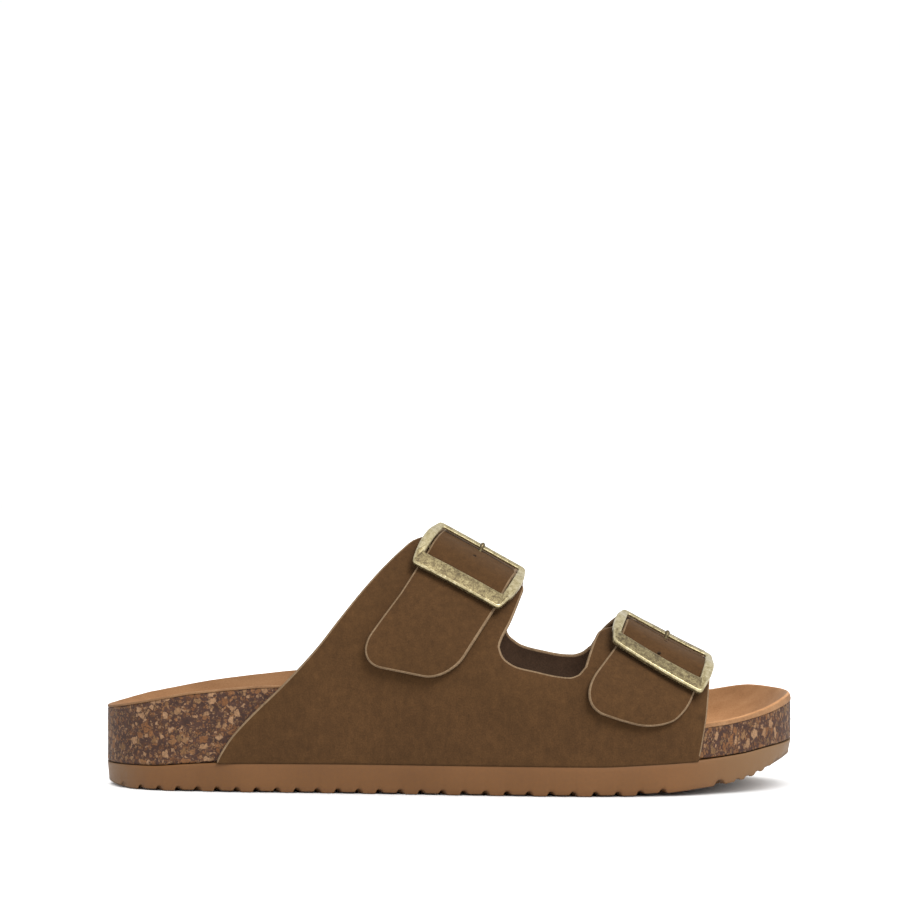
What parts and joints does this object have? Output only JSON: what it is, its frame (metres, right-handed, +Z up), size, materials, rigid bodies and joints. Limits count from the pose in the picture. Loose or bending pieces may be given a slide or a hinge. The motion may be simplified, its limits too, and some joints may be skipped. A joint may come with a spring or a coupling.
{
  "type": "double-buckle sandal",
  "caption": "Open-heel sandal with cork footbed, suede insole, grooved foam outsole and nubuck straps held by antique brass buckles on the outer side.",
  "frame": {"origin": "middle of the bounding box, on the floor plane under the sole", "axes": "+X towards the toe, +Y towards the inner side of the foot, +Z up; the buckles are on the outer side, -Y"},
  "size_m": [0.258, 0.104, 0.0989],
  "materials": {
    "foam": "matte warm brown moulded foam rubber",
    "cork": "sealed dark granulated cork",
    "suede": "tan suede",
    "nubuck": "olive brown nubuck with pale cut edges",
    "brass": "antique brass with dark patina"
  },
  "bodies": {
    "root": {"outsole": "foam", "footbed": "cork", "insole": "suede", "upper": "nubuck", "buckle_rear": "brass", "buckle_front": "brass", "prong_rear": "brass", "prong_front": "brass"}
  },
  "joints": []
}
